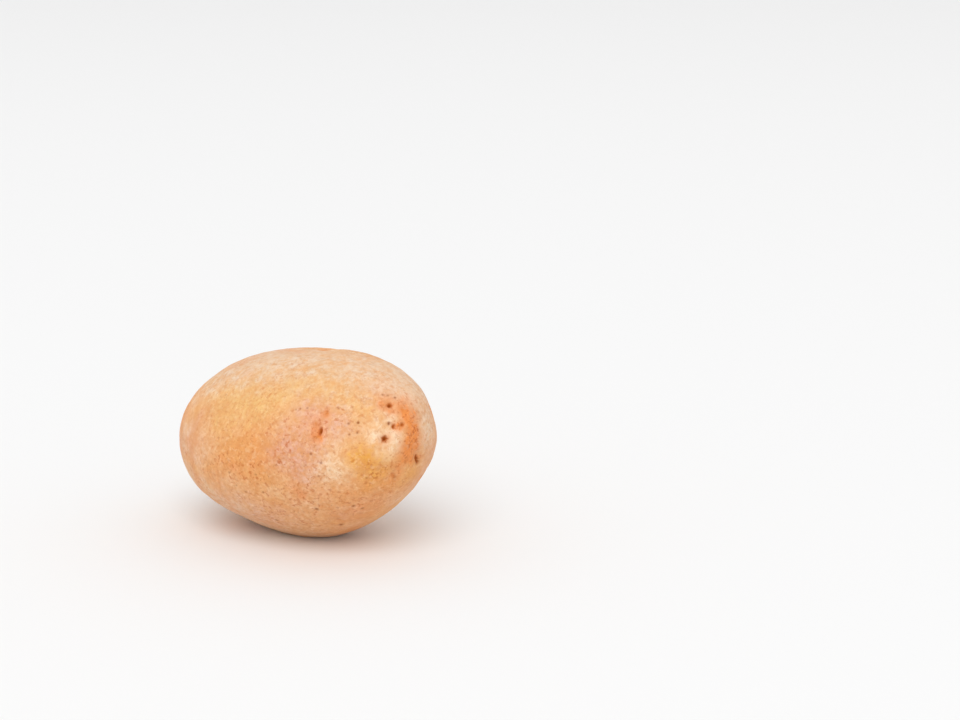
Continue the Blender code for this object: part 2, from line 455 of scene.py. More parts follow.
def layered(layers: Iterable[Waves], points: np.ndarray) -> np.ndarray:
    """Adds up layers of waves.

    Args:
        layers: the layers of waves.
        points: the points, in mm.

    Returns:
        the sum at each point.
    """
    total = np.zeros(len(points))
    for layer in layers:
        total += layer.height * WaveField(layer.wavelength, layer.seed).at(points)
    return total


def bump(distance: np.ndarray) -> np.ndarray:
    """A smooth round profile: 1 at no distance and almost 0 past twice its width."""
    return np.exp(-(distance**2))


def plateau(distance: np.ndarray, power: float = 4.0) -> np.ndarray:
    """A round profile with a flatter top than bump and a steeper edge."""
    return np.exp(-(np.abs(distance) ** power))


def ease(values: np.ndarray, low: float, high: float) -> np.ndarray:
    """Smoothly 0 below low and 1 above high, or the other way round where low is above high."""
    share = np.clip((values - low) / (high - low), 0, 1)
    return share * share * (3 - 2 * share)


class Ring(NamedTuple):
    """A soft ring round a middle: its radius and width in mm, and its strength."""

    radius: float
    width: float
    strength: float

    def at(self, away: np.ndarray) -> np.ndarray:
        """The ring's strength at these distances in mm from its middle."""
        return self.strength * bump((away - self.radius) / self.width)


# The tuber's form


@dataclass(frozen=True)
class Outlook:
    """A place seen from the skin: its point and its directions, all in metres and unit length."""

    point: np.ndarray
    ahead: np.ndarray
    across: np.ndarray

    def local_mm(self, points: np.ndarray) -> tuple[np.ndarray, np.ndarray, np.ndarray]:
        """Where points lie as seen from here.

        Args:
            points: the points, in metres.

        Returns:
            mm towards the rose end, mm across, and mm away in all.
        """
        offset = (points - self.point) / MM
        return offset @ self.ahead, offset @ self.across, np.linalg.norm(offset, axis=1)

    def over_skin(self, points: np.ndarray) -> tuple[np.ndarray, np.ndarray]:
        """As local_mm, but stretched so that points round the bend keep their real distance.

        Args:
            points: the points, in metres.

        Returns:
            mm towards the rose end and mm across, along the skin.
        """
        ahead, across, away = self.local_mm(points)
        stretch = away / np.maximum(np.hypot(ahead, across), 1e-6)
        return ahead * stretch, across * stretch


@dataclass(frozen=True)
class TuberForm:
    """The tuber's main form: the same driving sizes and formulas as its CAD solid has."""

    length: float = 0.103
    width: float = 0.067
    height: float = 0.065
    taper: float = -0.04
    belly_flattening: float = 0.10
    ends_lift: float = 0.0045
    rose_end_lift: float = 0.0065
    flat_spot_cut: float = 0.0020
    swellings: tuple[Swelling, ...] = (
        Swelling(-0.74, 28, 32, -0.0006),
        Swelling(-0.60, 110, 32, 0.0005),
        Swelling(-0.20, 140, 34, -0.0018),
        Swelling(0.50, -30, 36, 0.0010),
        Swelling(0.00, -40, 40, 0.0006),
        Swelling(0.25, 180, 30, 0.0022),
        Swelling(0.35, 180, 26, 0.0012),
        Swelling(0.35, -125, 30, 0.0009),
        Swelling(-0.45, -95, 34, -0.0010),
        Swelling(-0.35, 45, 26, 0.0005),
        Swelling(0.80, -65, 26, -0.0010),
        Swelling(-0.80, 103, 26, -0.0007),
        Swelling(0.55, 70, 30, -0.0005),
    )
    ripple_height: float = 0.00022
    ripple_waves: tuple[tuple[float, float, float, float], ...] = (
        (5.0, 3.0, 4.0, 0.4),
        (-3.0, 6.0, 2.0, 1.9),
        (2.0, -4.0, 7.0, 3.1),
    )
    dent_seed: int = 11
    dent_count: int = 46
    dent_furthest: float = 0.97
    dent_spreads: tuple[float, float] = (7, 16)
    dent_heights: tuple[float, float] = (-0.00038, 0.00026)
    hollow_slimness: float = 0.62
    brow_setback: float = 0.62
    brow_bend: float = 0.055
    brow_thickness: float = 0.70
    pit_steepness: float = 3
    eye_reach: float = 4
    scar_place: Place = Place(-0.988, 95)
    scar_radius: float = 4.6
    scar_depth: float = 1.5
    stub_radius: float = 1.25
    stub_height: float = 1.0
    look_step: float = 0.01

    def dents(self) -> list[tuple[np.ndarray, float, float]]:
        """The scattered dents and rises.

        Returns:
            for each a unit direction, a spread and a height in metres.
        """
        draw = random.Random(self.dent_seed)
        found = []
        for _ in range(self.dent_count):
            along = draw.uniform(-self.dent_furthest, self.dent_furthest)
            middle = Place(along, draw.uniform(-180, 180)).direction()
            spread = math.radians(draw.uniform(*self.dent_spreads)) ** 2 / 2
            found.append((middle, spread, draw.uniform(*self.dent_heights)))
        return found

    def normals(self, directions: np.ndarray) -> np.ndarray:
        """The outward normals of the plain ellipsoid at these directions."""
        scaled = directions / np.array((self.length, self.width, self.height))
        return scaled / np.linalg.norm(scaled, axis=1)[:, None]

    def body(self, directions: np.ndarray) -> np.ndarray:
        """The points of the tuber without its eyes, at these unit directions.

        Args:
            directions: unit directions from the tuber's middle.

        Returns:
            the points, in metres.
        """
        along = directions[:, 0]
        girth = 1 + self.taper * along
        x = self.length / 2 * along
        y = self.width / 2 * directions[:, 1] * girth
        z = self.height / 2 * directions[:, 2] * girth
        z = np.where(z < 0, z * (1 - self.belly_flattening), z)
        z = z + self.ends_lift * along**2 + self.rose_end_lift * along
        rise = np.zeros(len(directions))
        for swelling in self.swellings:
            middle = Place(swelling.along, swelling.around).direction()
            angle = np.arccos(np.clip(directions @ middle, -1, 1))
            rise += swelling.height * bump(angle / math.radians(swelling.spread))
        for wave_x, wave_y, wave_z, phase in self.ripple_waves:
            wave = directions @ np.array((wave_x, wave_y, wave_z)) + phase
            rise += self.ripple_height * np.sin(wave)
        for middle, spread, dent in self.dents():
            rise += dent * np.exp((directions @ middle - 1) / spread)
        return np.stack((x, y, z), axis=1) + self.normals(directions) * rise[:, None]

    def outlook(self, place: Place) -> Outlook:
        """A place's point on the body and its directions along and across the skin.

        Args:
            place: the place on the skin.

        Returns:
            the place as it is seen from the skin.
        """
        here = place.direction()
        sideways = np.cross((1, 0, 0), here)
        sideways /= np.linalg.norm(sideways)
        forward = np.cross(here, sideways)
        step = self.look_step
        near = np.array((here, here + step * forward, here + step * sideways))
        near /= np.linalg.norm(near, axis=1)[:, None]
        point, towards, beside = self.body(near)
        outward = np.cross(beside - point, towards - point)
        outward /= np.linalg.norm(outward)
        ahead = (towards - point) / np.linalg.norm(towards - point)
        across = np.cross(ahead, outward)
        turn = math.radians(place.turn)
        return Outlook(
            point,
            math.cos(turn) * ahead + math.sin(turn) * across,
            math.cos(turn) * across - math.sin(turn) * ahead,
        )

    def eye_rise(self, points: np.ndarray, eye: Eye) -> np.ndarray:
        """How far an eye moves the skin outward.

        Args:
            points: the points of the tuber's body, in metres.
            eye: the eye.

        Returns:
            the rise at each point, in mm.
        """
        ahead, beside, away = self.outlook(eye.place).local_mm(points)
        half_length = self.hollow_slimness * eye.half_width
        rise = -eye.depth * bump(np.hypot(ahead / half_length, beside / eye.half_width))
        brow_line = ahead + self.brow_setback * eye.half_width - self.brow_bend * beside**2
        rise += eye.brow * bump(brow_line / self.brow_thickness) * bump(beside / eye.half_width)
        for pit in eye.pits:
            rise -= pit.depth * plateau(pit.reach(ahead, beside), self.pit_steepness)
        return np.where(away < self.eye_reach * eye.half_width, rise, 0)

    def scar_rise(self, points: np.ndarray) -> np.ndarray:
        """How far the stolon scar moves the skin outward.

        Args:
            points: the points of the tuber's body, in metres.

        Returns:
            the rise at each point, in mm.
        """
        away = self.outlook(self.scar_place).local_mm(points)[2]
        rise = -self.scar_depth * bump(away / self.scar_radius)
        return rise + self.stub_height * plateau(away / self.stub_radius)

    def set_down(self, points: np.ndarray, lowest: Vector, highest: Vector) -> np.ndarray:
        """Cuts the flat spot and brings the points into the CAD solid's box.

        Args:
            points: the skin's points, in metres.
            lowest: the lowest corner of the CAD solid's box.
            highest: its highest corner.

        Returns:
            the points, with the box that the CAD solid has.
        """
        floor = points[:, 2].min() + self.flat_spot_cut
        points[:, 2] = np.maximum(points[:, 2], floor)
        low, high = points.min(axis=0), points.max(axis=0)
        size = (np.array(highest) - np.array(lowest)) / (high - low)
        return np.array(lowest) + (points - low) * size


# The skin's fine relief


@dataclass(frozen=True)
class FineRelief:
    """What the skin has besides its main form: creases, buds, corky dots and fine unevenness.

    The creases' sizes other than their spacing and depth are shares of the eye's half width, and
    a bud's are shares of its pit's half sizes.
    """

    form: TuberForm
    undulations: tuple[Waves, ...] = (
        Waves(13.0, 0.045, 21),
        Waves(6.5, 0.022, 22),
        Waves(3.2, 0.011, 23),
        Waves(1.7, 0.006, 24),
    )
    crease_spacing: float = 0.95
    crease_depth: float = 0.045
    crease_setback: float = 0.35
    crease_middle: float = 0.50
    crease_spread: float = 0.55
    crease_length: float = 0.80
    bud_height: float = 0.42
    bud_setback: float = 0.15
    bud_length: float = 0.55
    bud_width: float = 0.50
    star_rays: int = 5
    star_turn: float = 0.7
    star_start: float = 0.8
    star_reach: float = 1.7
    star_fade: float = 0.42
    star_depth: float = 0.16
    torn_waves: tuple[float, int] = (2.1, 33)
    torn_range: float = 1.3
    torn_least: float = 0.82
    torn_spread: float = 0.42
    torn_slant: float = 0.16
    torn_turn: float = 0.6
    stub_ridges: int = 9
    stub_ridge_height: float = 0.16
    stub_waves: tuple[float, int] = (2.4, 31)
    stub_wander: float = 1.3
    stub_rings: tuple[Ring, Ring] = (Ring(1.9, 1.5, 1.0), Ring(0.0, 1.0, 0.6))
    pore_depth: float = 0.8
    pore_radius: float = 0.4

    def unevenness(self, points: np.ndarray) -> np.ndarray:
        """The skin's gentle unevenness at several scales, in mm."""
        return layered(self.undulations, points / MM)

    def creases(self, points: np.ndarray, eye: Eye) -> np.ndarray:
        """Fine creases that run along an eye's brow, fading out from it.

        Args:
            points: the points of the tuber's body, in metres.
            eye: the eye.

        Returns:
            the rise at each point, in mm.
        """
        ahead, beside, away = self.form.outlook(eye.place).local_mm(points)
        width = eye.half_width
        line = ahead + self.crease_setback * width - self.form.brow_bend * beside**2
        waves = np.cos(2 * math.pi * line / self.crease_spacing) - 1
        near = bump((line + self.crease_middle * width) / (self.crease_spread * width))
        fade = near * bump(beside / (self.crease_length * width))
        return np.where(away < BUMP_END * width, self.crease_depth * waves * fade, 0)

    def buds(self, points: np.ndarray, eye: Eye) -> np.ndarray:
        """The dormant bud at the bottom of each of an eye's pits.

        Args:
            points: the points of the tuber's body, in metres.
            eye: the eye.

        Returns:
            the rise at each point, in mm.
        """
        ahead, beside, away = self.form.outlook(eye.place).local_mm(points)
        rise = np.zeros(len(points))
        for pit in eye.pits:
            reach = np.hypot(
                (ahead - pit.ahead + self.bud_setback) / (self.bud_length * pit.half_length),
                (beside - pit.beside) / (self.bud_width * pit.half_width),
            )
            rise += self.bud_height * pit.depth * bump(reach)
        return np.where(away < EYE_EDGE * eye.half_width, rise, 0)

    def star(self, points: np.ndarray) -> np.ndarray:
        """The short cracks that run out from the pit in the pale patch.

        Args:
            points: the points of the tuber's body, in metres.

        Returns:
            how strong the cracks are at each point, from 0 to 1.
        """
        ahead, beside, away = self.form.outlook(EYES["pale"].place).local_mm(points)
        angle = np.arctan2(beside, ahead)
        ray = 0.5 + 0.5 * np.cos(self.star_rays * angle + self.star_turn)
        fade = bump((away - self.star_start) / (self.star_fade * self.star_reach))
        return ray * fade * (away < BUMP_END * self.star_reach)

    def scar_reach(self, points: np.ndarray) -> tuple[np.ndarray, np.ndarray]:
        """How far these points are from the scar's ragged middle.

        Args:
            points: the skin's points, in metres.

        Returns:
            the reach in mm, made uneven as a torn edge is, and that unevenness from 0 to 1.
        """
        ahead, beside, away = self.form.outlook(self.form.scar_place).local_mm(points)
        waves = WaveField(*self.torn_waves).at(points / MM)
        ragged = ease(waves, -self.torn_range, self.torn_range)
        slant = self.torn_slant * np.cos(np.arctan2(beside, ahead) - self.torn_turn)
        return away * (self.torn_least + self.torn_spread * ragged + slant), ragged

    def stub(self, points: np.ndarray) -> np.ndarray:
        """Ragged ridges that fan out from the stub of the stolon.

        Args:
            points: the points of the tuber's body, in metres.

        Returns:
            the rise at each point, in mm.
        """
        ahead, beside, away = self.form.outlook(self.form.scar_place).local_mm(points)
        wander = self.stub_wander * WaveField(*self.stub_waves).at(points / MM)
        ridges = np.cos(self.stub_ridges * np.arctan2(beside, ahead) + wander)
        outer, inner = self.stub_rings
        return self.stub_ridge_height * ridges * (outer.at(away) + inner.at(away))

    def corkings(self, points: np.ndarray, dots: Iterable[CorkOrShadeDot]) -> np.ndarray:
        """The corky dots' rise: a low cushion with a sunken pore.

        Args:
            points: the points of the tuber's body, in metres.
            dots: the corky dots, with the dots of painted shade, which have no rise.

        Returns:
            the rise at each point, in mm.
        """
        rise = np.zeros(len(points))
        for dot in dots:
            away = np.linalg.norm(points - self.form.outlook(dot.place).point, axis=1) / MM
            near = np.flatnonzero(away < BUMP_END * dot.radius)
            share = away[near] / dot.radius
            pore = abs(dot.rise) * self.pore_depth * bump(share / self.pore_radius)
            rise[near] += dot.rise * plateau(share) - pore
        return rise


# The corky dots and the dots of painted shade round the eyes


@dataclass(frozen=True)
class CorkAndShadeDots:
    """The skin's lenticels, some at places of their own and the rest scattered by a seeded draw,
    with the placed dots of painted shade round the eyes.

    Each pair is the least and the most, and for the darkness the least and what is added at most.
    """

    placed: tuple[Row, ...] = PLACED_CORK_AND_SHADE_DOTS
    seed: int = 5
    scattered: int = 210
    radii: tuple[float, float] = (0.22, 0.48)
    rises: tuple[float, float] = (0.025, 0.07)
    darkness: tuple[float, float] = (0.15, 0.45)
    gap: float = 3.2
    furthest: float = 0.985

    def all(self, form: TuberForm) -> list[CorkOrShadeDot]:
        """Every corky dot and dot of painted shade: the placed ones first, then the scattered
        ones, clear of each other.

        Args:
            form: the form that carries them.

        Returns:
            the dots.
        """
        draw = random.Random(self.seed)
        dots = [CorkOrShadeDot(Place(*row[:2]), *row[2:]) for row in self.placed]
        taken = [form.outlook(dot.place).point for dot in dots]
        while len(dots) < len(self.placed) + self.scattered:
            along = draw.uniform(-self.furthest, self.furthest)
            place = Place(along, draw.uniform(-180, 180))
            size, lift, tone = draw.random(), draw.random(), draw.random()
            point = form.body(place.direction()[None])[0]
            if min(np.linalg.norm(np.array(taken) - point, axis=1)) < self.gap * MM:
                continue
            radius = self.radii[0] + (self.radii[1] - self.radii[0]) * size**2
            rise = self.rises[0] + (self.rises[1] - self.rises[0]) * lift
            darkness = self.darkness[0] + self.darkness[1] * tone**2
            taken.append(point)
            dots.append(CorkOrShadeDot(place, radius, rise, darkness))
        return dots


# The tints


@dataclass(frozen=True)
class SkinTints:
    """Where each tint lies: placed patches with ragged edges, over a drift that covers the rest.

    A drift's height is its strength. The fine drift is laid over each, with its seed added to
    the drift's own.
    """

    patches: Mapping[Tint | Mark, tuple[Row, ...]] = field(default_factory=lambda: PATCHES)
    drifts: Mapping[Tint | Mark, Waves] = field(
        default_factory=lambda: {
            Tint.PEACH: Waves(26.0, 0.42, 41),
            Tint.LEMON: Waves(30.0, 0.42, 42),
            Tint.BLUSH: Waves(24.0, 0.42, 43),
            Tint.CREAM: Waves(15.0, 0.30, 44),
            Tint.OCHRE: Waves(20.0, 0.25, 45),
            Tint.RUST: Waves(17.0, 0.22, 46),
            Tint.BLOOM: Waves(28.0, 0.45, 47),
            Mark.STIPPLE: Waves(17.0, 0.72, 61),
        }
    )
    fine_drift: Waves = Waves(6.0, 0.4, 50)
    drift_range: tuple[float, float] = (-0.1, 1.6)
    drift_held_back: float = 0.75
    edges: tuple[Waves, Waves] = (Waves(5.0, 0.16, 51), Waves(1.9, 0.10, 52))
    tightness: float = 0.92
    placed_side: Place = Place(0.55, 80)
    placed_side_stretch: float = 1.3
    placed_side_range: tuple[float, float] = (46, 26)
    halo: float = 0.75
    halo_reach: float = 1.5
    scar_halo: Ring = Ring(0.0, 3.6, 0.55)
    eyes_without_halo: tuple[str, ...] = (
        "slit",
        "upper",
        "crown",
        "pale",
        "tip",
        "tip_low",
        "front_low",
    )

    def masks(self, form: TuberForm, points: np.ndarray) -> dict[Tint | Mark, np.ndarray]:
        """How strong each tint and the stipple are at these points.

        Args:
            form: the form that the places lie on.
            points: the points of the tuber's body, in metres.

        Returns:
            for each a number from 0 to 1 at each point.
        """
        places = points / MM
        ragged = layered(self.edges, places)
        held_back = 1 - self.drift_held_back * self.placed_share(form, points)
        masks = {}
        for tint, drift in self.drifts.items():
            fine = self.fine_drift._replace(seed=drift.seed + self.fine_drift.seed)
            waves = layered((drift._replace(height=1.0), fine), places)
            mask = drift.height * ease(waves, *self.drift_range) * held_back
            for along, around, half_length, half_width, strength in self.patches[tint]:
                ahead, across = form.outlook(Place(along, around)).over_skin(points)
                reach = np.hypot(ahead / half_length, across / half_width) + ragged
                laid = strength * bump(np.maximum(reach, 0) * self.tightness)
                mask = mask + laid * (1 - mask)
            masks[tint] = mask
        masks[Tint.RUST] = self.with_halos(form, points, masks[Tint.RUST])
        return masks

    def placed_share(self, form: TuberForm, points: np.ndarray) -> np.ndarray:
        """1 on the side whose patches are placed one by one, falling to 0 on the other sides.

        Args:
            form: the form that the places lie on.
            points: the points of the tuber's body, in metres.

        Returns:
            a number from 0 to 1 at each point.
        """
        ahead, across = form.outlook(self.placed_side).over_skin(points)
        away = np.hypot(ahead / self.placed_side_stretch, across)
        return ease(away, *self.placed_side_range)

    def with_halos(self, form: TuberForm, points: np.ndarray, rust: np.ndarray) -> np.ndarray:
        """Adds the rusty halo round the scar and the pits of the eyes that have no patch of it.

        Args:
            form: the form that the places lie on.
            points: the points of the tuber's body, in metres.
            rust: how strong the rust is before them.

        Returns:
            how strong the rust is with them.
        """
        for name, eye in EYES.items():
            if name in self.eyes_without_halo:
                continue
            ahead, beside, away = form.outlook(eye.place).local_mm(points)
            for pit in eye.pits:
                reach = pit.reach(ahead, beside, self.halo_reach)
                laid = self.halo * bump(reach) * (away < EYE_EDGE * eye.half_width)
                rust = rust + laid * (1 - rust)
        away = form.outlook(form.scar_place).local_mm(points)[2]
        return rust + self.scar_halo.at(away) * (1 - rust)


# The skin's mesh


class Zone(NamedTuple):
    """A zone of finer faces: its middle in metres, its reach and longest edge in mm."""

    middle: np.ndarray
    reach: float
    edge: float


@dataclass(frozen=True)
class SkinMesh:
    """The tuber's skin as one closed mesh that is finest where its small shapes are."""

    form: TuberForm
    relief: FineRelief
    dots: CorkAndShadeDots
    tints: SkinTints
    level: int = 7
    splits: int = 2
    eye_zone: tuple[float, float] = (5.2, 0.55)
    pit_zone: tuple[float, float] = (2.4, 0.30)
    scar_zones: tuple[tuple[float, float], ...] = ((7.0, 0.55), (3.6, 0.30))
    dot_zone: tuple[float, float] = (1.9, 0.42)
    pit_mark_steepness: float = 1.9
    dot_mark_steepness: float = 1.8
    star_mark: float = 0.60
    scar_ring: Ring = Ring(1.7, 0.75, 0.62)
    scar_ring_shares: tuple[float, float] = (0.7, 0.4)
    scar_fringe: Ring = Ring(3.0, 1.0, 0.35)
    stub_mark_radius: float = 1.4
    stub_mark: float = 0.55

    def zones(self, dots: Iterable[CorkOrShadeDot]) -> list[Zone]:
        """The zones of finer faces, round the eyes, their pits, the scar, the corky dots and the
        dots of painted shade.

        Args:
            dots: the corky dots and the dots of painted shade.

        Returns:
            the zones.
        """
        scar = self.form.outlook(self.form.scar_place).point
        found = [Zone(scar, reach, edge) for reach, edge in self.scar_zones]
        for eye in EYES.values():
            view = self.form.outlook(eye.place)
            found.append(Zone(view.point, *self.eye_zone))
            for pit in eye.pits:
                middle = view.point + (pit.ahead * view.ahead + pit.beside * view.across) * MM
                found.append(Zone(middle, *self.pit_zone))
        for dot in dots:
            reach, edge = self.dot_zone
            found.append(Zone(self.form.outlook(dot.place).point, reach * dot.radius, edge))
        return found

    def refined_sphere(self, zones: list[Zone]) -> bmesh.types.BMesh:
        """A unit icosphere whose faces are split again inside the zones.

        Args:
            zones: the zones of finer faces.

        Returns:
            the sphere, which the caller frees.
        """
        mesh = bmesh.new()
        bmesh.ops.create_icosphere(mesh, subdivisions=self.level, radius=1)
        middles = np.array([zone.middle for zone in zones]) / MM
        for _ in range(self.splits):
            faces = list(mesh.faces)
            ends = np.array([[vertex.index for vertex in face.verts] for face in faces])
            directions = np.array([vertex.co[:] for vertex in mesh.verts])
            corners = self.form.body(directions)[ends] / MM
            sides = np.linalg.norm(corners - np.roll(corners, 1, axis=1), axis=2).mean(axis=1)
            face_middles = corners.mean(axis=1)
            wanted = np.full(len(faces), np.inf)
            for middle, zone in zip(middles, zones):
                near = np.abs(face_middles[:, 0] - middle[0]) < zone.reach
                rows = np.flatnonzero(near)
                away = np.linalg.norm(face_middles[rows] - middle, axis=1)
                rows = rows[away < zone.reach]
                wanted[rows] = np.minimum(wanted[rows], zone.edge)
            coarse = np.flatnonzero(sides > wanted)
            split = {edge.index for row in coarse for edge in faces[row].edges}
            edges = [edge for edge in mesh.edges if edge.index in split]
            bmesh.ops.subdivide_edges(mesh, edges=edges, cuts=1, use_grid_fill=True)
            mixed = [face for face in mesh.faces if len(face.verts) > 3]
            bmesh.ops.triangulate(mesh, faces=mixed)
            for vertex in mesh.verts:
                vertex.co.normalize()
            mesh.verts.index_update()
            mesh.edges.index_update()
        return mesh

    def marks(self, points: np.ndarray, dots: Iterable[CorkOrShadeDot]) -> dict[Mark, np.ndarray]:
        """How strong each mark of a small shape is.

        Args:
            points: the points of the tuber's body, in metres.
            dots: the corky dots and the dots of painted shade.

        Returns:
            for each mark a number from 0 to 1 at each point.
        """
        pit_mark = np.zeros(len(points))
        for eye in EYES.values():
            ahead, beside, away = self.form.outlook(eye.place).local_mm(points)
            near = away < EYE_EDGE * eye.half_width
            for pit in eye.pits:
                dark = plateau(pit.reach(ahead, beside), self.pit_mark_steepness)
                pit_mark = np.maximum(pit_mark, pit.darkness() * near * dark)
        pit_mark = np.maximum(pit_mark, self.star_mark * self.relief.star(points))
        torn, ragged = self.relief.scar_reach(points)
        least, added = self.scar_ring_shares
        pit_mark = np.maximum(pit_mark, self.scar_ring.at(torn) * (least + added * ragged))
        stub = self.stub_mark * plateau(torn / self.stub_mark_radius)
        cork_and_shade = np.maximum(stub, self.scar_fringe.at(torn) * ragged)
        # This mark also holds the dots of painted shade that darken the skin round the eyes.
        for dot in dots:
            away = np.linalg.norm(points - self.form.outlook(dot.place).point, axis=1) / MM
            near = np.flatnonzero(away < BUMP_END * dot.radius)
            laid = dot.darkness * plateau(away[near] / dot.radius, self.dot_mark_steepness)
            cork_and_shade[near] = np.maximum(cork_and_shade[near], laid)
        return {Mark.PIT: pit_mark, Mark.CORK_AND_SHADE: cork_and_shade}

    def build(self) -> bpy.types.Object:
        """Builds the skin and sets it down in the CAD solid's place.

        Returns:
            the skin, with its tints and marks as attributes.
        """
        dots = self.dots.all(self.form)
        sphere = self.refined_sphere(self.zones(dots))
        directions = np.array([vertex.co[:] for vertex in sphere.verts])
        body = self.form.body(directions)
        rise = self.form.scar_rise(body) + self.relief.stub(body)
        for eye in EYES.values():
            rise += self.form.eye_rise(body, eye)
            rise += self.relief.creases(body, eye) + self.relief.buds(body, eye)
        rise += self.relief.unevenness(body) + self.relief.corkings(body, dots)
        rise -= self.relief.star_depth * self.relief.star(body)
        points = body + self.form.normals(directions) * rise[:, None] * MM
        points = self.form.set_down(points, *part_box(NODE))
        bmesh.ops.recalc_face_normals(sphere, faces=sphere.faces)
        data = bpy.data.meshes.new("tuber_skin")
        sphere.to_mesh(data)
        sphere.free()
        data.vertices.foreach_set("co", points.astype(np.float32).ravel())
        for name, values in (
            *self.tints.masks(self.form, body).items(),
            *self.marks(body, dots).items(),
        ):
            layer = data.attributes.new(name.value, "FLOAT", "POINT")
            layer.data.foreach_set("value", values.astype(np.float32))
        data.update()
        data.shade_smooth()
        skin = bpy.data.objects.new("tuber_skin", data)
        bpy.context.scene.collection.objects.link(skin)
        return skin


# Shader maths


class Varying:
    """A number that varies over a surface. Sums and products of it add Math nodes."""

    def __init__(self, nodes: "MaterialNodes", socket: bpy.types.NodeSocket) -> None:
        """Wraps one output socket of a material's nodes."""
        self.nodes = nodes
        self.socket = socket

    def _math(self, operation: str, *values: "Operand") -> "Varying":
        """The result of a Math node on these values."""
        return self.nodes.add("ShaderNodeMath", {"operation": operation}, dict(enumerate(values)))

    def __add__(self, other: "Operand") -> "Varying":
        """self + other."""
        return self._math("ADD", self, other)

    def __radd__(self, other: "Operand") -> "Varying":
        """other + self."""
        return self._math("ADD", other, self)

    def __sub__(self, other: "Operand") -> "Varying":
        """self - other."""
        return self._math("SUBTRACT", self, other)

    def __rsub__(self, other: "Operand") -> "Varying":
        """other - self."""
        return self._math("SUBTRACT", other, self)

    def __mul__(self, other: "Operand") -> "Varying":
        """self * other."""
        return self._math("MULTIPLY", self, other)

    def __rmul__(self, other: "Operand") -> "Varying":
        """other * self."""
        return self._math("MULTIPLY", other, self)

    def centred(self) -> "Varying":
        """How far the number is above 0.5, the middle of a noise."""
        return self - 0.5

    def between(self, low: float, high: float) -> "Varying":
        """Smoothly 0 below low and 1 above high, or the other way round.

        Args:
            low: where it is 0.
            high: where it is 1.

        Returns:
            the number from 0 to 1.
        """
        return self.nodes.add(
            "ShaderNodeMapRange",
            {"interpolation_type": "SMOOTHSTEP"},
            {"Value": self, "From Min": low, "From Max": high},
        )


Operand = Varying | float | int
Setting = str | bool | int | float
Colour = tuple[float, float, float]


def srgb(red: int, green: int, blue: int) -> Colour:
    """A colour given in 0 to 255 as a screen shows it, as the linear values that shaders take."""
    shares = (value / 255 for value in (red, green, blue))
    return tuple(
        share / 12.92 if share <= 0.04045 else ((share + 0.055) / 1.055) ** 2.4 for share in shares
    )


class Growth(NamedTuple):
    """A strength that grows with a mask: what it is without the mask, and what the mask adds."""

    least: float
    added: float

    def at(self, mask: Varying) -> Varying:
        """The strength where the mask is that strong."""
        return self.least + self.added * mask


class Grain(NamedTuple):
    """A noise: its size in mm, how many finer noises it holds and how strong they are."""

    size: float
    detail: float
    roughness: float


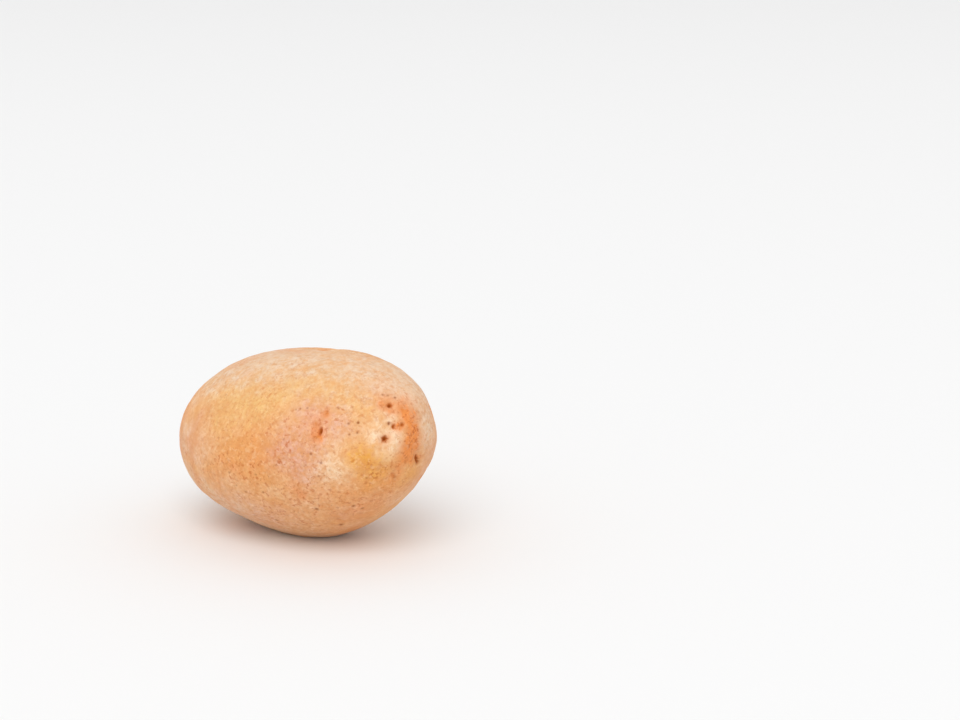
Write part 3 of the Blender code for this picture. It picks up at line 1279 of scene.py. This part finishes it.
class MaterialNodes:
    """The node tree of a new material, with the ways to add to it.

    NOISE_SWING is how far a noise mostly goes to either side of its middle.
    """

    NOISE_SWING = 0.25

    def __init__(self, name: str) -> None:
        """Makes the material with its Principled shader.

        Args:
            name: the material's name.
        """
        self.material = bpy.data.materials.new(name)
        self.material.use_nodes = True
        self.tree = self.material.node_tree
        self.shader = self.tree.nodes["Principled BSDF"]

    def add(
        self,
        kind: str,
        settings: Mapping[str, Setting],
        inputs: Mapping[str | int, Operand | Colour],
        output: str | int = 0,
    ) -> Varying:
        """Adds a node.

        Args:
            kind: the node's type.
            settings: its own settings, which are set first.
            inputs: the values or links of its sockets, by name or number.
            output: the output that is wanted.

        Returns:
            that output.
        """
        node = self.tree.nodes.new(kind)
        for name, value in settings.items():
            setattr(node, name, value)
        for name, value in inputs.items():
            self.fill(node.inputs[name], value)
        return Varying(self, node.outputs[output])

    def fill(self, socket: bpy.types.NodeSocket, value: Operand | Colour) -> None:
        """Links a socket to a varying value, or sets its plain one.

        Args:
            socket: a node's input.
            value: what it takes.
        """
        if isinstance(value, Varying):
            self.tree.links.new(value.socket, socket)
        elif socket.type == "RGBA" and len(value) == 3:
            socket.default_value = (*value, 1.0)
        else:
            socket.default_value = value

    def attribute(self, name: Tint | Mark) -> Varying:
        """The tint's or mark's strength, as the mesh holds it."""
        settings = {"attribute_name": name.value}
        return self.add("ShaderNodeAttribute", settings, {}, "Fac")

    def vector_math(
        self, operation: str, inputs: Mapping[str | int, Operand | Colour]
    ) -> Varying:
        """The result of a Vector Math node on these values."""
        return self.add("ShaderNodeVectorMath", {"operation": operation}, inputs)

    def places(self) -> Varying:
        """The place on the object, in mm."""
        metres = self.add("ShaderNodeTexCoord", {}, {}, "Object")
        return self.vector_math("SCALE", {0: metres, "Scale": 1 / MM})

    def stretched(self, vector: Varying, scales: Colour) -> Varying:
        """A vector or colour times one number for each axis or channel."""
        return self.vector_math("MULTIPLY", {0: vector, 1: scales})

    def warped(self, places: Varying, size: float, reach: float) -> Varying:
        """Places moved about by a noise.

        Args:
            places: the places, in mm.
            size: the noise's size in mm.
            reach: how far it moves them, in mm.

        Returns:
            the moved places.
        """
        inputs = {"Vector": places, "Scale": 1 / size, "Detail": 1.0}
        noise = self.add("ShaderNodeTexNoise", {}, inputs, "Color")
        centred = self.vector_math("SUBTRACT", {0: noise, 1: (0.5, 0.5, 0.5)})
        moved = self.vector_math("SCALE", {0: centred, "Scale": reach / self.NOISE_SWING})
        return self.vector_math("ADD", {0: places, 1: moved})

    def noise(self, places: Varying, grain: Grain) -> Varying:
        """Noise of that grain.

        Args:
            places: where the noise is looked up.
            grain: its grain.

        Returns:
            the noise, from about 0 to 1.
        """
        inputs = {
            "Vector": places,
            "Scale": 1 / grain.size,
            "Detail": grain.detail,
            "Roughness": grain.roughness,
        }
        return self.add("ShaderNodeTexNoise", {}, inputs)

    def cells(
        self, places: Varying, size: float, output: str = "Distance", feature: str = "F1"
    ) -> Varying:
        """Scattered cells of that size in mm.

        Args:
            places: where the cells are looked up.
            size: their size in mm.
            output: the distance, or the nearest cell's random colour.
            feature: what the distance is measured to.

        Returns:
            that output.
        """
        inputs = {"Vector": places, "Scale": 1 / size, "Randomness": 1.0}
        return self.add("ShaderNodeTexVoronoi", {"feature": feature}, inputs, output)

    def blend(
        self, first: Varying | Colour, second: Varying | Colour, share: Operand
    ) -> Varying:
        """The first colour, passing into the second as share goes from 0 to 1."""
        settings = {"data_type": "RGBA", "blend_type": "MIX"}
        return self.add("ShaderNodeMix", settings, {0: share, 6: first, 7: second}, 2)

    def shaded(self, colour: Varying, factor: Varying) -> Varying:
        """A colour times a number."""
        return self.vector_math("SCALE", {0: colour, "Scale": factor})

    def bumped(self, height: Varying, strength: float = 1.0) -> Varying:
        """The normal over a relief whose height is in mm."""
        inputs = {"Strength": strength, "Distance": MM, "Height": height}
        return self.add("ShaderNodeBump", {}, inputs)


# The skin's finish


@dataclass(frozen=True)
class SkinFinish:
    """Thin matt potato skin: tinted ground, orange stipple, corky dots, dots of painted shade
    round the eyes and dark pits.

    Each tint has its colour and how ragged its edges are. Each range is what a noise has to pass
    to show at all and in full. Shares are of the grain, the mottle and the clouds, or of the last
    two, and a breakup is how strongly the grain breaks something up. Heights and depths are of
    the relief, in mm.
    """

    ground: Colour = srgb(228, 170, 114)
    tints: Mapping[Tint, tuple[Colour, float]] = field(
        default_factory=lambda: {
            Tint.PEACH: (srgb(224, 150, 86), 1.6),
            Tint.LEMON: (srgb(228, 181, 114), 1.0),
            Tint.BLUSH: (srgb(219, 163, 134), 1.6),
            Tint.CREAM: (srgb(245, 220, 188), 1.1),
            Tint.OCHRE: (srgb(228, 158, 58), 1.2),
            Tint.BLOOM: (srgb(225, 194, 164), 1.0),
            Tint.RUST: (srgb(226, 137, 70), 1.7),
        }
    )
    fleck: Colour = srgb(190, 104, 48)
    pale_fleck: Colour = srgb(244, 208, 164)
    # The colour of the corky dots, pores and streaks, and of the painted shade round the eyes.
    cork_and_shade: Colour = srgb(150, 80, 30)
    pit: Colour = srgb(176, 90, 24)
    pit_heart: Colour = srgb(122, 56, 8)
    deep_grain: Colour = (0.92, 0.76, 0.60)
    light_grain: Colour = (1.05, 1.15, 1.24)
    loosening: tuple[float, float] = (2.6, 0.35)
    grain: Grain = Grain(1.9, 4.0, 0.75)
    speckle: Grain = Grain(1.4, 2.0, 0.60)
    pale_speckle: Grain = Grain(1.5, 2.0, 0.55)
    dust: Grain = Grain(0.75, 2.0, 0.60)
    mottle: Grain = Grain(4.2, 3.0, 0.60)
    clouds: Grain = Grain(9.0, 2.0, 0.55)
    streaks: Grain = Grain(0.9, 2.0, 0.50)
    streak_stretch: Colour = (0.16, 1.0, 1.0)
    tint_breakup: tuple[float, float] = (1.0, 1.6)
    depth_shares: tuple[float, float, float] = (0.66, 0.24, 0.10)
    depth_range: tuple[float, float] = (0.34, 0.66)
    depth_contrast: Growth = Growth(0.55, 0.45)
    cluster_shares: tuple[float, float] = (0.6, 0.4)
    cluster_range: tuple[float, float] = (0.36, 0.60)
    speckle_range: tuple[float, float] = (0.52, 0.66)
    fleck_least: float = 0.12
    fleck_in_stipple: float = 0.74
    fleck_on_rust: float = 0.20
    pale_range: tuple[float, float] = (0.52, 0.70)
    pale_strength: Growth = Growth(0.14, 0.20)
    pale_lost_on_rust: float = 0.7
    dust_strength: Growth = Growth(0.10, 0.22)
    shade: Growth = Growth(0.93, 0.14)
    streak_range: tuple[float, float] = (0.60, 0.76)
    streak_strength: Growth = Growth(0.05, 0.45)
    cork_and_shade_range: tuple[float, float] = (0.05, 1.05)
    cork_and_shade_breakup: Growth = Growth(0.35, 1.3)
    pit_range: tuple[float, float] = (0.10, 0.75)
    pit_breakup: float = 0.9
    heart_range: tuple[float, float] = (0.72, 1.02)
    heart_breakup: float = 0.5
    pore_size: float = 1.15
    pore_range: tuple[float, float] = (0.24, 0.10)
    pore_choice: tuple[float, float] = (0.45, 0.75)
    pore_share: Growth = Growth(0.25, 0.75)
    pore_strength: float = 0.42
    web_size: float = 1.9
    web_range: tuple[float, float] = (0.075, 0.0)
    web_choice: tuple[float, float] = (0.42, 0.66)
    web_strength: float = 0.12
    scratch_strength: float = 0.50
    cream_calm: float = 0.6
    roughness: float = 0.62
    grain_roughness: float = 0.16
    bloom_roughness: float = 0.12
    cork_and_shade_roughness: float = 0.15
    pit_roughness: float = 0.25
    sheen: float = 0.05
    sheen_roughness: float = 0.45
    gloss: float = 0.22
    grain_height: float = 0.055
    speckle_height: float = 0.040
    mottle_height: float = 0.06
    cork_and_shade_height: float = 0.02
    pore_depth: float = 0.030
    web_depth: float = 0.020
    scratch_depth: float = 0.012

    def material(self) -> bpy.types.Material:
        """Builds the skin's material.

        Returns:
            the material.
        """
        nodes = MaterialNodes("potato_skin")
        places = nodes.places()
        loose = nodes.warped(places, *self.loosening)
        calm = 1 - self.cream_calm * nodes.attribute(Tint.CREAM)
        stipple = nodes.attribute(Mark.STIPPLE) * calm
        cork_and_shade = nodes.attribute(Mark.CORK_AND_SHADE)
        pit = nodes.attribute(Mark.PIT)
        bloom = nodes.attribute(Tint.BLOOM)
        rust = nodes.attribute(Tint.RUST)
        grain = nodes.noise(loose, self.grain)
        speckle = nodes.noise(loose, self.speckle)
        dust = nodes.noise(places, self.dust)
        mottle = nodes.noise(places, self.mottle)
        clouds = nodes.noise(places, self.clouds)
        streaks = nodes.noise(nodes.stretched(loose, self.streak_stretch), self.streaks)

        colour = self.tinted(nodes, mottle, grain)
        deep = nodes.stretched(colour, self.deep_grain)
        light = nodes.stretched(colour, self.light_grain)
        fine, middling, broad = self.depth_shares
        depth = (fine * grain + middling * mottle + broad * clouds).between(*self.depth_range)
        share = 0.5 + depth.centred() * self.depth_contrast.at(stipple)
        colour = nodes.blend(deep, light, share)
        middling, broad = self.cluster_shares
        clusters = (middling * mottle + broad * clouds).between(*self.cluster_range)
        fleck = self.fleck_least + self.fleck_in_stipple * stipple * clusters
        fleck = speckle.between(*self.speckle_range) * (fleck + self.fleck_on_rust * rust)
        colour = nodes.blend(colour, self.fleck, fleck)
        pale = nodes.noise(loose, self.pale_speckle).between(*self.pale_range)
        pale = pale * self.pale_strength.at(stipple) * (1 - self.pale_lost_on_rust * rust)
        colour = nodes.blend(colour, self.pale_fleck, pale)
        colour, pores = self.with_pores(nodes, colour, loose, stipple)
        colour, web = self.with_web(nodes, colour, loose, mottle)
        scratch = streaks.between(*self.streak_range) * self.streak_strength.at(bloom)
        colour = nodes.blend(colour, self.cork_and_shade, self.scratch_strength * scratch)
        dusted = self.dust_strength.at(stipple) * dust.centred()
        colour = nodes.shaded(colour, self.shade.at(mottle) + dusted)
        # Corky dots, and dots of painted shade that darken the skin round the eyes.
        dotted = (cork_and_shade * self.cork_and_shade_breakup.at(grain)).between(*self.cork_and_shade_range)
        colour = nodes.blend(colour, self.cork_and_shade, dotted)
        sunk = (pit + self.pit_breakup * grain.centred() * pit).between(*self.pit_range)
        colour = nodes.blend(colour, self.pit, sunk)
        heart = (pit + self.heart_breakup * grain.centred()).between(*self.heart_range)
        colour = nodes.blend(colour, self.pit_heart, heart)

        nodes.fill(nodes.shader.inputs["Base Color"], colour)
        rough = self.roughness + self.grain_roughness * grain.centred()
        rough = rough + self.bloom_roughness * bloom
        rough = rough + self.cork_and_shade_roughness * cork_and_shade + self.pit_roughness * pit
        nodes.fill(nodes.shader.inputs["Roughness"], rough)
        nodes.shader.inputs["Sheen Weight"].default_value = self.sheen
        nodes.shader.inputs["Sheen Roughness"].default_value = self.sheen_roughness
        nodes.shader.inputs["Specular IOR Level"].default_value = self.gloss
        height = self.grain_height * grain + self.speckle_height * speckle
        height = height + self.mottle_height * mottle - self.pore_depth * pores
        height = height - self.web_depth * web
        height = height - self.scratch_depth * scratch + self.cork_and_shade_height * cork_and_shade * grain
        nodes.fill(nodes.shader.inputs["Normal"], nodes.bumped(height))
        return nodes.material

    def tinted(self, nodes: MaterialNodes, mottle: Varying, grain: Varying) -> Varying:
        """The ground colour with every tint laid over it, each broken up at its edges.

        Args:
            nodes: the material's nodes.
            mottle: noise of a few mm.
            grain: noise of 2 mm and less.

        Returns:
            the colour.
        """
        by_mottle, by_grain = self.tint_breakup
        spread = by_mottle * mottle.centred() + by_grain * grain.centred()
        colour: Varying | Colour = self.ground
        for tint, (tone, raggedness) in self.tints.items():
            laid = nodes.attribute(tint) * (1 + raggedness * spread)
            colour = nodes.blend(colour, tone, laid)
        return colour

    def with_pores(
        self, nodes: MaterialNodes, colour: Varying, places: Varying, stipple: Varying
    ) -> tuple[Varying, Varying]:
        """Adds fine scattered pores to the colour.

        Args:
            nodes: the material's nodes.
            colour: the colour so far.
            places: the places, in mm.
            stipple: how strong the stipple is.

        Returns:
            the colour with them, and how strong they are.
        """
        near = nodes.cells(places, self.pore_size).between(*self.pore_range)
        drawn = nodes.cells(places, self.pore_size, "Color")
        chosen = nodes.add("ShaderNodeSeparateColor", {}, {0: drawn}).between(*self.pore_choice)
        pores = near * chosen * self.pore_share.at(stipple)
        return nodes.blend(colour, self.cork_and_shade, self.pore_strength * pores), pores

    def with_web(
        self, nodes: MaterialNodes, colour: Varying, places: Varying, mottle: Varying
    ) -> tuple[Varying, Varying]:
        """Adds the skin's faint corky web to the colour.

        Args:
            nodes: the material's nodes.
            colour: the colour so far.
            places: the places, in mm.
            mottle: noise of a few mm.

        Returns:
            the colour with it, and how strong it is.
        """
        edges = nodes.cells(places, self.web_size, feature="DISTANCE_TO_EDGE")
        web = edges.between(*self.web_range) * mottle.between(*self.web_choice)
        return nodes.blend(colour, self.fleck, self.web_strength * web), web


# The potato and what it is shown with


@dataclass(frozen=True)
class Potato:
    """The potato: one tuber, whose fine skin stands for the CAD solid."""

    form: TuberForm = TuberForm()
    dots: CorkAndShadeDots = CorkAndShadeDots()
    tints: SkinTints = field(default_factory=SkinTints)
    finish: SkinFinish = field(default_factory=SkinFinish)

    def build(self) -> bpy.types.Object:
        """Builds the skin, dresses it and lets it ride on the frame.

        Returns:
            the skin.
        """
        skin = SkinMesh(self.form, FineRelief(self.form), self.dots, self.tints).build()
        skin.data.materials.append(self.finish.material())
        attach(skin, BODY)
        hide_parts(NODE)
        return skin


@dataclass(frozen=True)
class Floor:
    """A plain pale floor at the height of the potato's resting spot."""

    half_size: float = 12.0
    tone: Colour = (0.85, 0.85, 0.85)
    roughness: float = 0.9

    def build(self, height: float) -> bpy.types.Object:
        """Builds the floor.

        Args:
            height: how high it lies, in metres.

        Returns:
            the floor, which is part of the stage.
        """
        mesh = bmesh.new()
        bmesh.ops.create_grid(mesh, x_segments=1, y_segments=1, size=self.half_size)
        data = bpy.data.meshes.new("floor")
        mesh.to_mesh(data)
        mesh.free()
        nodes = MaterialNodes("floor_paint")
        nodes.fill(nodes.shader.inputs["Base Color"], self.tone)
        nodes.fill(nodes.shader.inputs["Roughness"], self.roughness)
        data.materials.append(nodes.material)
        floor = bpy.data.objects.new("floor", data)
        floor.location.z = height
        bpy.context.scene.collection.objects.link(floor)
        return floor


@dataclass(frozen=True)
class SoftLight:
    """One large studio light: its angle about the object, height angle, distance and power."""

    name: str
    azimuth: float
    elevation: float
    distance: float
    size: float
    power: float
    tone: Colour = (1.0, 1.0, 1.0)

    def build(self, target: Vector) -> bpy.types.Object:
        """Builds the light.

        Args:
            target: the point that it faces.

        Returns:
            the light.
        """
        data = bpy.data.lights.new(self.name, "AREA")
        data.shape = "DISK"
        data.size = self.size
        data.energy = self.power
        data.color = self.tone
        light = bpy.data.objects.new(self.name, data)
        back = backward(self.azimuth, self.elevation)
        light.location = target + back * self.distance
        light.rotation_euler = back.to_track_quat("Z", "Y").to_euler()
        bpy.context.scene.collection.objects.link(light)
        return light


def backward(azimuth: float, elevation: float) -> Vector:
    """The direction from the object to a viewer.

    Args:
        azimuth: the angle round the object, in degrees.
        elevation: the height angle, in degrees.

    Returns:
        the direction, of unit length.
    """
    turn, lift = math.radians(azimuth), math.radians(elevation)
    flat = math.cos(lift)
    return Vector((math.sin(turn) * flat, -math.cos(turn) * flat, math.sin(lift)))


@dataclass(frozen=True)
class Studio:
    """Plain soft studio light: a pale surround and one large light above."""

    surround: float = 0.86
    lights: tuple[SoftLight, ...] = (
        SoftLight(
            "light_above", azimuth=34, elevation=50, distance=8.0, size=6.5, power=262
        ),
    )

    def build(self, target: Vector) -> list[bpy.types.Object]:
        """Sets the surround and builds the lights.

        Args:
            target: the point that the lights face.

        Returns:
            the lights.
        """
        world = bpy.data.worlds.new("surround")
        world.use_nodes = True
        background = world.node_tree.nodes["Background"]
        background.inputs["Color"].default_value = (1.0, 1.0, 1.0, 1.0)
        background.inputs["Strength"].default_value = self.surround
        bpy.context.scene.world = world
        bpy.context.scene.view_settings.view_transform = "Standard"
        return [light.build(target) for light in self.lights]


@dataclass(frozen=True)
class PhotoCamera:
    """The photograph's camera, which sees the potato low and left of the picture's middle."""

    azimuth: float = 46.0
    elevation: float = 15.0
    distance: float = 0.760
    lens: float = 85.0
    sensor: float = 36.0
    nearest: float = 0.01
    picture: tuple[int, int] = (960, 720)
    potato_at: tuple[float, float] = (305.6, 439.6)

    def build(self, target: Vector) -> bpy.types.Object:
        """The camera, turned so that the target shows where the photograph has it.

        Args:
            target: the middle of the potato's box.

        Returns:
            the camera, which is made the scene's.
        """
        width, height = self.picture
        reach = self.lens / self.sensor * width
        seen = Vector((self.potato_at[0] - width / 2, height / 2 - self.potato_at[1], -reach))
        seen.normalize()
        back = backward(self.azimuth, self.elevation)
        below = math.atan2(-seen.y, -seen.z)
        tilt = below + math.acos(back.z / math.hypot(seen.y, seen.z))
        level = seen.y * math.cos(tilt) - seen.z * math.sin(tilt)
        swing = math.atan2(-back.y, -back.x) - math.atan2(level, seen.x)
        data = bpy.data.cameras.new("camera")
        data.lens = self.lens
        data.sensor_width = self.sensor
        data.clip_start = self.nearest
        camera = bpy.data.objects.new("camera", data)
        camera.location = target + back * self.distance
        camera.rotation_euler = (tilt, 0.0, swing)
        bpy.context.scene.collection.objects.link(camera)
        bpy.context.scene.camera = camera
        return camera


def main() -> None:
    """Builds the potato, its floor, light and camera, and reports each."""
    logging.basicConfig(level=logging.INFO, format="%(name)s: %(message)s")
    lowest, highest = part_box(NODE)
    middle = (lowest + highest) / 2
    skin = Potato().build()
    LOG.info("%s built with %d faces", skin.name, len(skin.data.polygons))
    floor = Floor().build(lowest.z)
    LOG.info("%s laid at %.4f m", floor.name, floor.location.z)
    for light in Studio().build(middle):
        LOG.info("%s built with %.0f W", light.name, light.data.energy)
    camera = PhotoCamera().build(middle)
    LOG.info("%s set with a lens of %.0f mm", camera.name, camera.data.lens)


if __name__ == "__main__":
    main()
